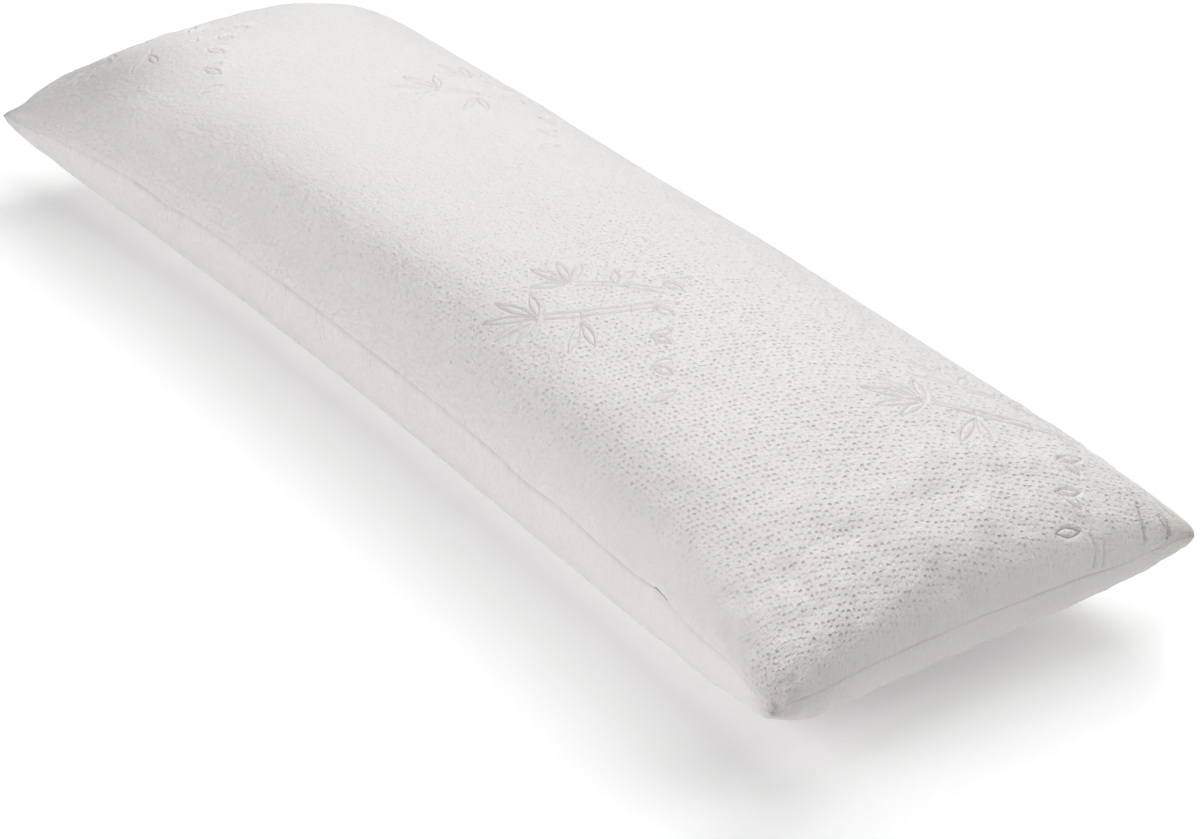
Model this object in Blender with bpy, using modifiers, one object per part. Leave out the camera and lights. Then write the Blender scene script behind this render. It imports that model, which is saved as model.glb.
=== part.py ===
# A long body pillow lying on its back: two knit panels, sewn together on all four
# sides, turned and filled. Units are metres. X runs along the pillow, Y across it,
# and Z up from the surface it rests on, with the origin under its middle.
from collections import namedtuple

import bmesh
import bpy
import numpy as np

# Driving sizes
LENGTH = 1.350  # from tip to tip of the corners
WIDTH = 0.457
CROWN_BACK = 0.186  # how high the crown would stand above the surface at either end
CROWN_FRONT = 0.203
SEAM_LIP = 0.004  # the two layers of knit, where they are sewn together
BELLY = 1.2  # over 1, so that the underside would hang below the surface, which flattens it

# How round the filled panels are. A profile is (1 - |share| ** edge) ** fullness.
Profile = namedtuple("Profile", "edge fullness")
END_PROFILE = Profile(edge=4.1, fullness=0.395)
TOP_PROFILE = Profile(edge=2.07, fullness=0.48)
UNDER_PROFILE = Profile(edge=2.3, fullness=0.305)

# The seam between the corners: its height halfway, and how far the filling draws it in.
# Bend says how near to the tips it turns: a high figure is a straighter seam.
Side = namedtuple("Side", "height draw_in bend")
NEAR_SIDE = Side(height=0.103, draw_in=0.037, bend=2.35)
FAR_SIDE = Side(height=0.103, draw_in=0.0215, bend=2.35)
FRONT_END = Side(height=0.088, draw_in=0.014, bend=1.7)
BACK_END = Side(height=0.1075, draw_in=0.012, bend=1.7)

# The four tips, and how high each one stands.
TIP_HEIGHT = {
    "back near": 0.084,
    "front near": 0.100,
    "back far": 0.0745,
    "front far": 0.095,
}

# Where along its length the pillow is stuffed fuller or slacker, and by how much a side.
Girth = namedtuple("Girth", "x reach wider")
GIRTHS = (
    Girth(x=0.170, reach=0.150, wider=0.0022),
    Girth(x=-0.360, reach=0.180, wider=-0.0030),
)

# Soft swells and hollows of the filling, outwards from each panel.
Swell = namedtuple("Swell", "x y reach rise")
TOP_SWELLS = (
    Swell(x=0.560, y=-0.120, reach=0.050, rise=0.0035),
    Swell(x=0.520, y=-0.020, reach=0.045, rise=-0.0030),
    Swell(x=0.570, y=0.060, reach=0.050, rise=0.0035),
    Swell(x=0.440, y=-0.110, reach=0.060, rise=-0.0030),
    Swell(x=0.380, y=0.050, reach=0.080, rise=0.0025),
    Swell(x=0.230, y=-0.090, reach=0.090, rise=0.0025),
    Swell(x=0.120, y=0.140, reach=0.110, rise=0.0025),
    Swell(x=-0.120, y=-0.060, reach=0.100, rise=0.0025),
    Swell(x=-0.320, y=0.070, reach=0.090, rise=-0.0020),
    Swell(x=-0.480, y=-0.050, reach=0.080, rise=0.0030),
    Swell(x=-0.450, y=0.160, reach=0.090, rise=-0.0025),
    Swell(x=-0.620, y=0.070, reach=0.050, rise=0.0025),
)
UNDER_SWELLS = (
    Swell(x=0.640, y=-0.150, reach=0.040, rise=0.0025),
    Swell(x=0.640, y=0.130, reach=0.045, rise=-0.0030),
    Swell(x=-0.640, y=-0.170, reach=0.040, rise=-0.0020),
)

# Troughs where the cloth gathers behind a tip, each from one point to another.
Fold = namedtuple("Fold", "x0 y0 x1 y1 half_width depth")
FOLDS = (
    Fold(x0=0.560, y0=0.165, x1=0.640, y1=0.195, half_width=0.012, depth=0.005),
    Fold(x0=0.600, y0=0.120, x1=0.650, y1=0.175, half_width=0.012, depth=0.005),
    Fold(x0=0.620, y0=-0.170, x1=0.655, y1=-0.200, half_width=0.012, depth=0.004),
    Fold(x0=-0.590, y0=-0.165, x1=-0.650, y1=-0.200, half_width=0.014, depth=0.004),
)

CELLS_ALONG = 34
CELLS_ACROSS = 16
CLOSER_AT_BENDS = 0.13  # metres of profile that a turn of one radian counts for
FINE_STEPS = 4000


def profile(share, shape):
    return (1 - np.abs(share) ** shape.edge) ** shape.fullness


def stations(cells, half_span, rise, shape):
    """Shares from -1 to 1, in even steps along a profile and closer where it bends."""
    turn = np.linspace(0, np.pi / 2, FINE_STEPS)
    share = np.sin(turn) ** (2 / shape.edge)
    height = rise * np.cos(turn) ** (2 * shape.fullness)
    step_x, step_z = np.diff(half_span * share), np.diff(height)
    slope = np.arctan2(-step_z, step_x)
    walked = np.cumsum(np.hypot(step_x, step_z)) + CLOSER_AT_BENDS * (slope - slope[0])
    walked = np.append(0, walked)
    half = np.interp(np.linspace(0, walked[-1], cells // 2 + 1), walked, share)
    return np.concatenate([-half[:0:-1], half])


def between(low, high, share):
    return low + (high - low) * (1 + share) / 2


def seam_height(side, start, end, share):
    """Height of one side's seam, from the tip at its start to the tip at its end."""
    return side.height + (between(start, end, share) - side.height) * np.abs(share) ** side.bend


def middle_height(u, v):
    """Height of the surface that the seam would span, which both panels bulge from."""
    tip = TIP_HEIGHT
    long_sides = between(
        seam_height(NEAR_SIDE, tip["back near"], tip["front near"], u),
        seam_height(FAR_SIDE, tip["back far"], tip["front far"], u),
        v,
    )
    ends = between(
        seam_height(BACK_END, tip["back near"], tip["back far"], v),
        seam_height(FRONT_END, tip["front near"], tip["front far"], v),
        u,
    )
    tips = between(
        between(tip["back near"], tip["front near"], u),
        between(tip["back far"], tip["front far"], u),
        v,
    )
    return long_sides + ends - tips


def plan(u, v):
    """X and Y of a point at shares u along and v across, with the sides drawn in."""
    end_draw = between(BACK_END.draw_in, FRONT_END.draw_in, u)
    side_draw = between(NEAR_SIDE.draw_in, FAR_SIDE.draw_in, v)
    x = u * (LENGTH / 2 - end_draw * (1 - np.abs(v) ** FRONT_END.bend))
    wider = sum(g.wider * np.exp(-(((x - g.x) / g.reach) ** 2)) for g in GIRTHS)
    y = v * (WIDTH / 2 + wider - side_draw * (1 - np.abs(u) ** NEAR_SIDE.bend))
    return x, y


def swelling(swells, x, y):
    rise = np.zeros_like(x)
    for swell in swells:
        away = np.hypot(x - swell.x, y - swell.y) / swell.reach
        rise += swell.rise * np.exp(-(away**2))
    return rise


def folding(x, y):
    """Depth of the troughs at a point, fading out past each one's ends."""
    depth = np.zeros_like(x)
    for fold in FOLDS:
        run_x, run_y = fold.x1 - fold.x0, fold.y1 - fold.y0
        along = ((x - fold.x0) * run_x + (y - fold.y0) * run_y) / (run_x**2 + run_y**2)
        along = np.clip(along, 0, 1)
        away = np.hypot(x - fold.x0 - along * run_x, y - fold.y0 - along * run_y)
        depth += fold.depth * np.exp(-((away / fold.half_width) ** 2))
    return depth


def top_point(u, v):
    x, y = plan(u, v)
    middle = middle_height(u, v) + SEAM_LIP / 2
    full = profile(u, END_PROFILE) * profile(v, TOP_PROFILE)
    loose = np.minimum(full * 2, 1)
    crown = between(CROWN_BACK, CROWN_FRONT, u)
    bulge = (crown - middle) * full + (swelling(TOP_SWELLS, x, y) - folding(x, y)) * loose
    return x, y, middle + bulge


def under_point(u, v):
    x, y = plan(u, v)
    middle = middle_height(u, v) - SEAM_LIP / 2
    full = profile(u, END_PROFILE) * profile(v, UNDER_PROFILE)
    loose = np.minimum(full * 2, 1)
    hang = middle * BELLY * full + swelling(UNDER_SWELLS, x, y) * loose
    return x, y, np.maximum(middle - hang, 0)


def pillow_cage():
    """A flat box of cells, with one thin row of them round its edge as the seam, shaped."""
    bm = bmesh.new()
    sharp_tip = bm.verts.layers.float.new("crease_vert")
    bmesh.ops.create_grid(bm, x_segments=CELLS_ALONG, y_segments=CELLS_ACROSS, size=1)
    lifted = bmesh.ops.extrude_face_region(bm, geom=bm.faces[:], use_keep_orig=True)
    upper = {item for item in lifted["geom"] if isinstance(item, bmesh.types.BMVert)}
    rise = CROWN_FRONT - FRONT_END.height
    along = stations(CELLS_ALONG, LENGTH / 2, rise, END_PROFILE)
    across = stations(CELLS_ACROSS, WIDTH / 2, rise, TOP_PROFILE)
    for vert in bm.verts:
        u = along[round((vert.co.x + 1) / 2 * CELLS_ALONG)]
        v = across[round((vert.co.y + 1) / 2 * CELLS_ACROSS)]
        shape = top_point if vert in upper else under_point
        vert.co = shape(u, v)
        vert[sharp_tip] = float(abs(u) == 1 and abs(v) == 1)
    mesh = bpy.data.meshes.new("pillow")
    bm.to_mesh(mesh)
    bm.free()
    return mesh


def knit_cover():
    material = bpy.data.materials.new("white knit cover")
    material.use_nodes = True
    shader = material.node_tree.nodes["Principled BSDF"]
    shader.inputs["Base Color"].default_value = (0.82, 0.81, 0.80, 1)
    shader.inputs["Roughness"].default_value = 0.9
    shader.inputs["Metallic"].default_value = 0
    return material


def build():
    for obj in list(bpy.data.objects):
        bpy.data.objects.remove(obj)
    collection = bpy.data.collections.new("body pillow")
    bpy.context.scene.collection.children.link(collection)
    mesh = pillow_cage()
    mesh.materials.append(knit_cover())
    mesh.shade_smooth()
    pillow = bpy.data.objects.new("pillow", mesh)
    collection.objects.link(pillow)
    rounding = pillow.modifiers.new("rounding", "SUBSURF")
    rounding.levels = rounding.render_levels = 1


build()
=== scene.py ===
import math

import bmesh
import bpy
import numpy as np
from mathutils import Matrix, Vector, kdtree, noise


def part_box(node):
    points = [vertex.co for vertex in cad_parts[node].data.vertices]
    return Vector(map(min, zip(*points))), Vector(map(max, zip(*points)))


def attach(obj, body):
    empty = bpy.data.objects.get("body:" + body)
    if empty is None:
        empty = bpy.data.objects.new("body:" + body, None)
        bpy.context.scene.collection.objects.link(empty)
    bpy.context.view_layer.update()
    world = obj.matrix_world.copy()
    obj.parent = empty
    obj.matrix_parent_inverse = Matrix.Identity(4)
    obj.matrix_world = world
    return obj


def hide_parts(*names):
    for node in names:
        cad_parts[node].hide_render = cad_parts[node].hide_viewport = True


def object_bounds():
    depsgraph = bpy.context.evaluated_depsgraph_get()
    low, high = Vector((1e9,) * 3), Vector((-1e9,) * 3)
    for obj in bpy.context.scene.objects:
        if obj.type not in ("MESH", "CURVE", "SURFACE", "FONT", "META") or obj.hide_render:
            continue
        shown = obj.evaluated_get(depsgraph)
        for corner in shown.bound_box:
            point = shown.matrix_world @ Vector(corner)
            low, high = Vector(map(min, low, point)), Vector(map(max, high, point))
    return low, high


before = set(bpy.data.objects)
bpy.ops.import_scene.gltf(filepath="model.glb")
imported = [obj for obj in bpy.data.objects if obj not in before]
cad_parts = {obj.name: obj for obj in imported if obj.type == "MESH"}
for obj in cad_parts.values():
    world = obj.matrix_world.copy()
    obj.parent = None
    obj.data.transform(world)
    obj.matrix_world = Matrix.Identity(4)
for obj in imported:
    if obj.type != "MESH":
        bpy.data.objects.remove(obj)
cadLow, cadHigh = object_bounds()
box = [round(v, 4) for v in (*cadLow, *cadHigh)]
print("frame: nodes", len(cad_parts), "CAD box", box)

mm = 0.001


def linearColour(hexCode):
    # sRGB hex to the linear values that Blender's sockets take
    channels = [int(hexCode[i : i + 2], 16) / 255 for i in (1, 3, 5)]
    linear = [c / 12.92 if c <= 0.04045 else ((c + 0.055) / 1.055) ** 2.4 for c in channels]
    return (*linear, 1)


def addNode(tree, kind, settings=None, inputs=None):
    # one node, its settings, and what goes into its sockets: a value, or another node's output
    node = tree.nodes.new(kind)
    for name, value in (settings or {}).items():
        setattr(node, name, value)
    for socket, value in (inputs or {}).items():
        if isinstance(value, bpy.types.NodeSocket):
            tree.links.new(value, node.inputs[socket])
        else:
            node.inputs[socket].default_value = value
    return node


def linkedObject(name, data):
    piece = bpy.data.objects.new(name, data)
    bpy.context.scene.collection.objects.link(piece)
    return piece


# The view: a long lens from above the front corner
view = {
    "azimuth": math.radians(55.09),  # from -Y towards +X
    "elevation": math.radians(30.76),
    "distance": 3.093,
    "aim": Vector((0.2073, -0.0666, 0.0806)),
    "lens": 102,
    "sensor": 36,
}


def addCamera():
    level = math.cos(view["elevation"])
    across, along = math.sin(view["azimuth"]) * level, -math.cos(view["azimuth"]) * level
    back = Vector((across, along, math.sin(view["elevation"])))
    data = bpy.data.cameras.new("camera")
    data.lens = view["lens"]
    data.sensor_width = view["sensor"]
    camera = linkedObject("camera", data)
    camera.location = view["aim"] + back * view["distance"]
    camera.rotation_euler = (-back).to_track_quat("-Z", "Y").to_euler()
    bpy.context.scene.camera = camera
    print("camera placed")


addCamera()

# The filled form. Shares run from -1 to 1, from seam to seam: u along, v across.
boxLow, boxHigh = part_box("pillow")
form = {
    "length": boxHigh.x - boxLow.x,  # between the tips
    "width": boxHigh.y - boxLow.y,
    "crownBack": 0.186,
    "crownFront": 0.203,
    "lip": 0.6 * mm,  # between the two panels where the seam holds them
    "belly": 1.2,
    "endEdge": 4.1,
    "endFullness": 0.395,
    "topEdge": 2.07,
    "topFullness": 0.48,
    "underEdge": 2.3,
    "underFullness": 0.305,
    "sideHeight": 0.103,  # of the seam, halfway along a long side
    "frontHeight": 0.088,
    "backHeight": 0.1075,
    "nearDraw": 0.037,  # how far the filling draws each side in
    "farDraw": 0.0215,
    "frontDraw": 0.014,
    "backDraw": 0.012,
    "sideBend": 2.35,
    "endBend": 1.7,
    "tipBackNear": 0.084,
    "tipFrontNear": 0.098,
    "tipBackFar": 0.0745,
    "tipFrontFar": 0.095,
    "fineSteps": 4000,  # along a profile, where it is measured
}

# Where the pillow is stuffed fuller or slacker, by how much a side
girths = [
    {"x": 0.170, "reach": 0.150, "wider": 2.2 * mm},
    {"x": -0.360, "reach": 0.180, "wider": -3.0 * mm},
]

# Swells and hollows of the filling, on the plan
topSwells = [
    {"x": 0.560, "y": -0.120, "reach": 0.050, "rise": 3.5 * mm},
    {"x": 0.520, "y": -0.020, "reach": 0.045, "rise": -3.0 * mm},
    {"x": 0.570, "y": 0.060, "reach": 0.050, "rise": 3.5 * mm},
    {"x": 0.440, "y": -0.110, "reach": 0.060, "rise": -3.0 * mm},
    {"x": 0.380, "y": 0.050, "reach": 0.080, "rise": 2.5 * mm},
    {"x": 0.230, "y": -0.090, "reach": 0.090, "rise": 2.5 * mm},
    {"x": 0.120, "y": 0.140, "reach": 0.110, "rise": 2.5 * mm},
    {"x": -0.120, "y": -0.060, "reach": 0.100, "rise": 2.5 * mm},
    {"x": -0.320, "y": 0.070, "reach": 0.090, "rise": -2.0 * mm},
    {"x": -0.480, "y": -0.050, "reach": 0.080, "rise": 3.0 * mm},
    {"x": -0.450, "y": 0.160, "reach": 0.090, "rise": -2.5 * mm},
    {"x": -0.620, "y": 0.070, "reach": 0.050, "rise": 2.5 * mm},
]
underSwells = [
    {"x": 0.640, "y": -0.150, "reach": 0.040, "rise": 2.5 * mm},
    {"x": 0.640, "y": 0.130, "reach": 0.045, "rise": -3.0 * mm},
    {"x": -0.640, "y": -0.170, "reach": 0.040, "rise": -2.0 * mm},
]

# Where the sewn seam rides up or down. Along the near side at x, or along the front end at y.
nearWaves = [
    {"at": -0.640, "reach": 0.030, "rise": -3.0 * mm},
    {"at": -0.480, "reach": 0.050, "rise": 1.8 * mm},
    {"at": -0.365, "reach": 0.035, "rise": -4.0 * mm},
    {"at": -0.190, "reach": 0.040, "rise": -1.8 * mm},
    {"at": 0.120, "reach": 0.060, "rise": 1.8 * mm},
    {"at": 0.280, "reach": 0.035, "rise": -4.5 * mm},
    {"at": 0.400, "reach": 0.040, "rise": -3.2 * mm},
    {"at": 0.495, "reach": 0.025, "rise": 5.0 * mm},
    {"at": 0.610, "reach": 0.030, "rise": 3.5 * mm},
]
frontWaves = [
    {"at": -0.170, "reach": 0.025, "rise": -2.8 * mm},
    {"at": -0.020, "reach": 0.080, "rise": 1.5 * mm},
    {"at": 0.145, "reach": 0.030, "rise": -2.8 * mm},
]

# The front tips are stuffed so full that they end round, not in a point. Side is -1 on the
# near one, fuller is how much rounder the panels rise there, and sag is how far the top
# panel's fullness pushes the seam down there.
bluntTips = [
    {
        "side": -1,
        "radius": 38 * mm,
        "fuller": 0.10,
        "reach": 60 * mm,
        "sag": 13 * mm,
        "sagReach": 42 * mm,
    },
    {
        "side": 1,
        "radius": 6 * mm,
        "fuller": 0.05,
        "reach": 40 * mm,
        "sag": 0,
        "sagReach": 40 * mm,
    },
]

# The cover as it was cut, before it was filled
cut = {
    "length": 1.372,  # 54 inches
    "width": 0.508,  # 20 inches
    "cell": 8 * mm,
    # rows beside the seam, as distances from it
    "seamRows": [0, 0.7 * mm, 1.4 * mm, 2.3 * mm, 3.5 * mm, 5.2 * mm, 7.8 * mm, 12 * mm],
    # the cells are halved once for each of these distances from a stroke or a crease
    "halvings": [8.2 * mm, 3.2 * mm, 1.4 * mm, 0.45 * mm],
    "creaseFarther": 0.8 * mm,  # a crease is wide enough without the last halving
}


def between(low, high, share):
    return low + (high - low) * (1 + share) / 2


def roundness(share, edge, fullness):
    return np.clip(1 - np.abs(share) ** edge, 0, 1) ** fullness


def hump(value, middle, reach):
    return np.exp(-(((value - middle) / reach) ** 2))


def seamHeight(middle, start, end, share, bend):
    return middle + (between(start, end, share) - middle) * np.abs(share) ** bend


def waving(waves, place):
    return sum(wave["rise"] * hump(place, wave["at"], wave["reach"]) for wave in waves)


def middleHeight(u, v):
    # the surface that the seam would span, which both panels bulge from
    f = form
    near = seamHeight(f["sideHeight"], f["tipBackNear"], f["tipFrontNear"], u, f["sideBend"])
    near = near + waving(nearWaves, u * f["length"] / 2)
    far = seamHeight(f["sideHeight"], f["tipBackFar"], f["tipFrontFar"], u, f["sideBend"])
    back = seamHeight(f["backHeight"], f["tipBackNear"], f["tipBackFar"], v, f["endBend"])
    front = seamHeight(f["frontHeight"], f["tipFrontNear"], f["tipFrontFar"], v, f["endBend"])
    front = front + waving(frontWaves, v * f["width"] / 2)
    tips = between(
        between(f["tipBackNear"], f["tipFrontNear"], u),
        between(f["tipBackFar"], f["tipFrontFar"], u),
        v,
    )
    return between(near, far, v) + between(back, front, u) - tips


def swelling(places, x, y):
    out = np.zeros_like(x)
    for place in places:
        along = hump(x, place["x"], place["reach"])
        out += place["rise"] * along * hump(y, place["y"], place["reach"])
    return out


def walkProfile(flat, halfFlat, halfSpan, edge, fullness):
    # shares of the points that lie these distances from the middle along a filled profile
    turn = np.linspace(0, math.pi / 2, form["fineSteps"])
    share = np.sin(turn) ** (2 / edge)
    height = (form["crownFront"] - form["frontHeight"]) * np.cos(turn) ** (2 * fullness)
    walked = np.append(0, np.cumsum(np.hypot(np.diff(halfSpan * share), np.diff(height))))
    walked *= halfFlat / walked[-1]
    return np.sign(flat) * np.interp(np.abs(flat), walked, share)


def roundedCorner(x, y, tip):
    # the plan with one corner turned on a radius: a square's corner drawn in to a circle's
    radius = tip["radius"]
    overX = 1 - (form["length"] / 2 - x) / radius
    overY = 1 - (form["width"] / 2 - y * tip["side"]) / radius
    inside = (overX > 0) & (overY > 0)
    px, py = np.clip(overX, 0, 1), np.clip(overY, 0, 1)
    backX = np.where(inside, overX * (1 - np.sqrt(1 - py**2 / 2)), 0) * radius
    backY = np.where(inside, overY * (1 - np.sqrt(1 - px**2 / 2)), 0) * radius
    return x - backX, y - backY * tip["side"]


def filledPoint(s, t, panel):
    # where a point of the flat cut, s along and t across, lies once the cover is filled.
    # panel is 1 on the top one and -1 on the one beneath.
    f = form
    u = walkProfile(s, cut["length"] / 2, f["length"] / 2, f["endEdge"], f["endFullness"])
    v = walkProfile(t, cut["width"] / 2, f["width"] / 2, f["topEdge"], f["topFullness"])
    endDraw = between(f["backDraw"], f["frontDraw"], u)
    sideDraw = between(f["nearDraw"], f["farDraw"], v)
    x = u * (f["length"] / 2 - endDraw * (1 - np.abs(v) ** f["endBend"]))
    wider = sum(g["wider"] * hump(x, g["x"], g["reach"]) for g in girths)
    y = v * (f["width"] / 2 + wider - sideDraw * (1 - np.abs(u) ** f["sideBend"]))
    rounder = np.ones_like(x)
    middle = middleHeight(u, v)
    for tip in bluntTips:
        x, y = roundedCorner(x, y, tip)
        fromTip = np.hypot(cut["length"] / 2 - s, cut["width"] / 2 - tip["side"] * t)
        rounder -= tip["fuller"] * hump(fromTip, 0, tip["reach"])
        middle -= tip["sag"] * hump(fromTip, 0, tip["sagReach"])
    ends = roundness(u, f["endEdge"], f["endFullness"])
    over = (ends * roundness(v, f["topEdge"], f["topFullness"])) ** rounder
    under = (ends * roundness(v, f["underEdge"], f["underFullness"])) ** rounder
    crown = between(f["crownBack"], f["crownFront"], u)
    top = middle + f["lip"] / 2 + (crown - middle) * over
    top = top + swelling(topSwells, x, y) * np.minimum(over * 2, 1)
    bottom = middle - f["lip"] / 2 - middle * f["belly"] * under
    bottom = bottom - swelling(underSwells, x, y) * np.minimum(under * 2, 1)
    height = between(np.maximum(bottom, 0), top, panel)
    return np.stack([x, y, height], axis=-1)


def panelLines(halfFlat, cell, rows):
    # lines of the mesh from seam to seam, evenly spaced but closer beside the seam
    inner = halfFlat - rows[-1]
    steps = round(inner / cell)
    half = np.concatenate([np.linspace(0, inner, steps + 1), halfFlat - np.array(rows[-2::-1])])
    return np.concatenate([-half[:0:-1], half])


def sortParts(bm):
    # an extrusion leaves its parts in no fixed order, and the cloth would settle a little
    # differently each time: s first, then t, then the panel
    order = Vector((1e7, 1e3, 0.1))
    bm.verts.sort(key=lambda vert: vert.co.dot(order))
    bm.edges.sort(key=lambda edge: (edge.verts[0].co + edge.verts[1].co).dot(order))
    bm.faces.sort(key=lambda face: face.calc_center_median().dot(order))


def flatPanels(cell, rows):
    # both panels flat, z 1 and -1, joined all round by one narrow row of faces at the seam
    along = panelLines(cut["length"] / 2, cell, rows)
    across = panelLines(cut["width"] / 2, cell, rows)
    columns, lines = len(along) - 1, len(across) - 1
    bm = bmesh.new()
    bmesh.ops.create_grid(bm, x_segments=columns, y_segments=lines, size=1)
    raised = bmesh.ops.extrude_face_region(bm, geom=bm.faces[:], use_keep_orig=True)
    upper = {item for item in raised["geom"] if isinstance(item, bmesh.types.BMVert)}
    for vert in bm.verts:
        s = along[round((vert.co.x + 1) / 2 * columns)]
        t = across[round((vert.co.y + 1) / 2 * lines)]
        vert.co = (s, t, 1 if vert in upper else -1)
    sortParts(bm)
    return bm


def vertArray(verts):
    return np.array([vert.co[:] for vert in verts])


def setVerts(bm, points):
    for vert, point in zip(bm.verts, points):
        vert.co = point


def seamDistance(flat):
    fromEnd = cut["length"] / 2 - np.abs(flat[:, 0])
    fromSide = cut["width"] / 2 - np.abs(flat[:, 1])
    return np.minimum(fromEnd, fromSide)


# The filling presses the cover out, and Blender's cloth finds how it settles
settling = {
    "cell": 10.5 * mm,
    "slack": 0.50,  # how much of the flat cut's own lengths the cloth keeps
    "hold": 0.15,  # how firmly the filling keeps each point in its place
    "mass": 0.25,
    "stiffness": 60,
    "shear": 15,
    "bending": 0.1,
    "pressure": 1.0,
    "quality": 6,
    "frames": 20,
    "cap": 6 * mm,  # what a point's move from the plain form is eased towards
}


def settleCover():
    # how far each point of an even grid on each panel moves from the plain form
    bm = flatPanels(settling["cell"], [0])
    flat = vertArray(bm.verts)
    filled = filledPoint(*flat.T)
    setVerts(bm, filled)
    mesh = bpy.data.meshes.new("settling")
    bm.to_mesh(mesh)
    bm.free()
    piece = linkedObject("settling", mesh)
    piece.shape_key_add(name="start")
    rest = piece.shape_key_add(name="lengths")
    laid = flat * [1, 1, form["lip"]]
    for point, place in zip(rest.data, filled + (laid - filled) * settling["slack"]):
        point.co = place
    rest.value = 0
    held = piece.vertex_groups.new(name="held")
    held.add(list(range(len(flat))), settling["hold"], "REPLACE")
    cloth = piece.modifiers.new("cloth", "CLOTH")
    cloth.settings.rest_shape_key = rest
    cloth.settings.vertex_group_mass = held.name
    cloth.settings.pin_stiffness = 1
    cloth.settings.quality = settling["quality"]
    cloth.settings.mass = settling["mass"]
    cloth.settings.tension_stiffness = settling["stiffness"]
    cloth.settings.compression_stiffness = settling["stiffness"]
    cloth.settings.shear_stiffness = settling["shear"]
    cloth.settings.bending_stiffness = settling["bending"]
    cloth.settings.use_pressure = True
    cloth.settings.uniform_pressure_force = settling["pressure"]
    cloth.settings.effector_weights.gravity = 0
    cloth.point_cache.frame_start = 1
    cloth.point_cache.frame_end = settling["frames"]
    scene = bpy.context.scene
    for number in range(1, settling["frames"] + 1):
        scene.frame_set(number)
    evaluated = piece.evaluated_get(bpy.context.evaluated_depsgraph_get())
    moved = vertArray(evaluated.data.vertices) - filled
    bpy.data.objects.remove(piece)
    scene.frame_set(1)
    reach = np.linalg.norm(moved, axis=1)
    print("settled: mean", round(reach.mean() / mm, 2), "most", round(reach.max() / mm, 2), "mm")
    moved *= (settling["cap"] / (settling["cap"] + reach))[:, None]
    along, across = np.unique(flat[:, 0]), np.unique(flat[:, 1])
    fields = np.zeros((2, len(along), len(across), 3))
    place = (
        (flat[:, 2] > 0).astype(int),
        np.searchsorted(along, flat[:, 0]),
        np.searchsorted(across, flat[:, 1]),
    )
    fields[place] = moved
    return fields


def smoothSample(field, s, t):
    # a grid read between its points with cubic B-spline weights
    def steps(value, span, count):
        at = np.clip((value / span + 0.5) * (count - 1), 0, count - 1)
        first = np.minimum(at.astype(int), count - 2)
        f = (at - first)[:, None]
        weights = [(1 - f) ** 3, 3 * f**3 - 6 * f**2 + 4, -3 * f**3 + 3 * f**2 + 3 * f + 1, f**3]
        return first, [w / 6 for w in weights]

    i, alongWeights = steps(s, cut["length"], field.shape[0])
    j, acrossWeights = steps(t, cut["width"], field.shape[1])
    total = np.zeros((len(s), 3))
    for di, wi in enumerate(alongWeights):
        for dj, wj in enumerate(acrossWeights):
            row = np.clip(i + di - 1, 0, field.shape[0] - 1)
            column = np.clip(j + dj - 1, 0, field.shape[1] - 1)
            total += wi * wj * field[row, column]
    return total


# A sprig of two stems with their leaves, in millimetres about its own middle
sprig = {
    "stems": [
        {"foot": (4, -86), "head": (-14, 30), "bow": 5, "width": 9, "joints": [0.32, 0.66]},
        {"foot": (26, -80), "head": (36, 4), "bow": -4, "width": 7, "joints": [0.38, 0.74]},
    ],
    "fans": [
        {"at": (-14, 34), "turns": [62, 92, 122, 150, 18], "lengths": [46, 52, 46, 36, 36]},
        {"at": (-22, -6), "turns": [168, 204], "lengths": [42, 34]},
        {"at": (37, 8), "turns": [96, 58, 24, -12], "lengths": [36, 44, 38, 32]},
        {"at": (34, -34), "turns": [-28, 6], "lengths": [30, 26]},
    ],
    "leafWidth": 8,
    "leafGap": 3,  # from the fan's middle to where a leaf starts
    "stemTaper": 0.7,  # how wide a stem's head is beside its foot
    "jointOver": 0.25,  # how far a joint's line stands past the stem, as a share of it
}
# A row of leaves that lean to either side in turn, in millimetres too
leafRow = {
    "leaves": 9,
    "length": 176,
    "arch": 9,
    "base": -12,  # the height that the arch rises from
    "leaf": 24,
    "leafWidth": 9,
    "lean": 34,  # degrees
}

# Each group is a sprig with a row of leaves at its foot, as the knit repeats it along the cloth
groups = {
    "turn": math.radians(138),
    "rowFromSprig": Vector((-38, -89)) * mm,  # in the sprig's own directions
    "sprigs": [(0.181, -0.083), (-0.571, -0.090), (0.482, 0.114), (-0.260, 0.114)],
}

# How the motif is drawn down into the cloth
motif = {
    "depth": 1.7 * mm,
    "halfWidth": 0.75 * mm,
    "puff": 0.9 * mm,
    "puffFrom": 3.0 * mm,
    "puffReach": 2.8 * mm,
    "step": 0.4 * mm,  # between the points that stand for a stroke
    "clearOfSeam": 4 * mm,
    "farAway": 20 * mm,  # past this the knit's material needs no distance
}


def arc(start, end, bow, steps=10):
    # points from start to end along a line bowed to its left
    start, end = Vector(start), Vector(end)
    side = (end - start).orthogonal().normalized() * bow
    return [
        start + (end - start) * k / steps + side * math.sin(math.pi * k / steps)
        for k in range(steps + 1)
    ]


def leafStrokes(base, turn, length, width):
    # a pointed leaf: two bowed edges that meet at its base and at its tip
    tip = Vector(base) + Vector((math.cos(turn), math.sin(turn))) * length
    return [arc(base, tip, width / 2), arc(base, tip, -width / 2)]


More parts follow.
